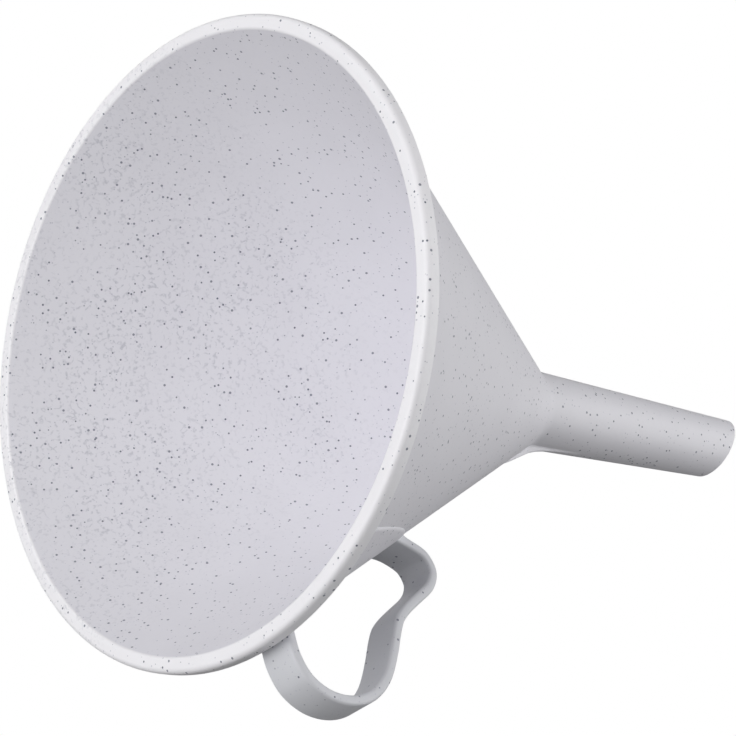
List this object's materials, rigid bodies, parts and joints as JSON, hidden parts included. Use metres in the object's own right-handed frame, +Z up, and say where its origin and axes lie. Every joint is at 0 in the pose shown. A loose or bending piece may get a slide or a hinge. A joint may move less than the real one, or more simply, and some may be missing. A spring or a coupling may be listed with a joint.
{
  "type": "pouring funnel",
  "caption": "Plastic pouring funnel with a rounded rim lip, straight cone, tapered slant-cut spout and a looped strap handle with a thumb dip.",
  "frame": {"origin": "on the funnel axis at the level where the cone meets the spout", "axes": "+Z up along the funnel axis towards the mouth, +X towards the handle, which lies in the XZ plane"},
  "size_m": [0.1632, 0.15, 0.182],
  "materials": {
    "speckled_plastic": "satin, light grey with fine dark specks"
  },
  "bodies": {
    "root": {"rim_lip": "speckled_plastic", "cone_wall": "speckled_plastic", "spout_tube": "speckled_plastic", "throat_gusset": "speckled_plastic", "handle_land": "speckled_plastic", "handle_rim_root": "speckled_plastic", "handle_strap": "speckled_plastic", "handle_cone_root": "speckled_plastic"}
  },
  "joints": []
}
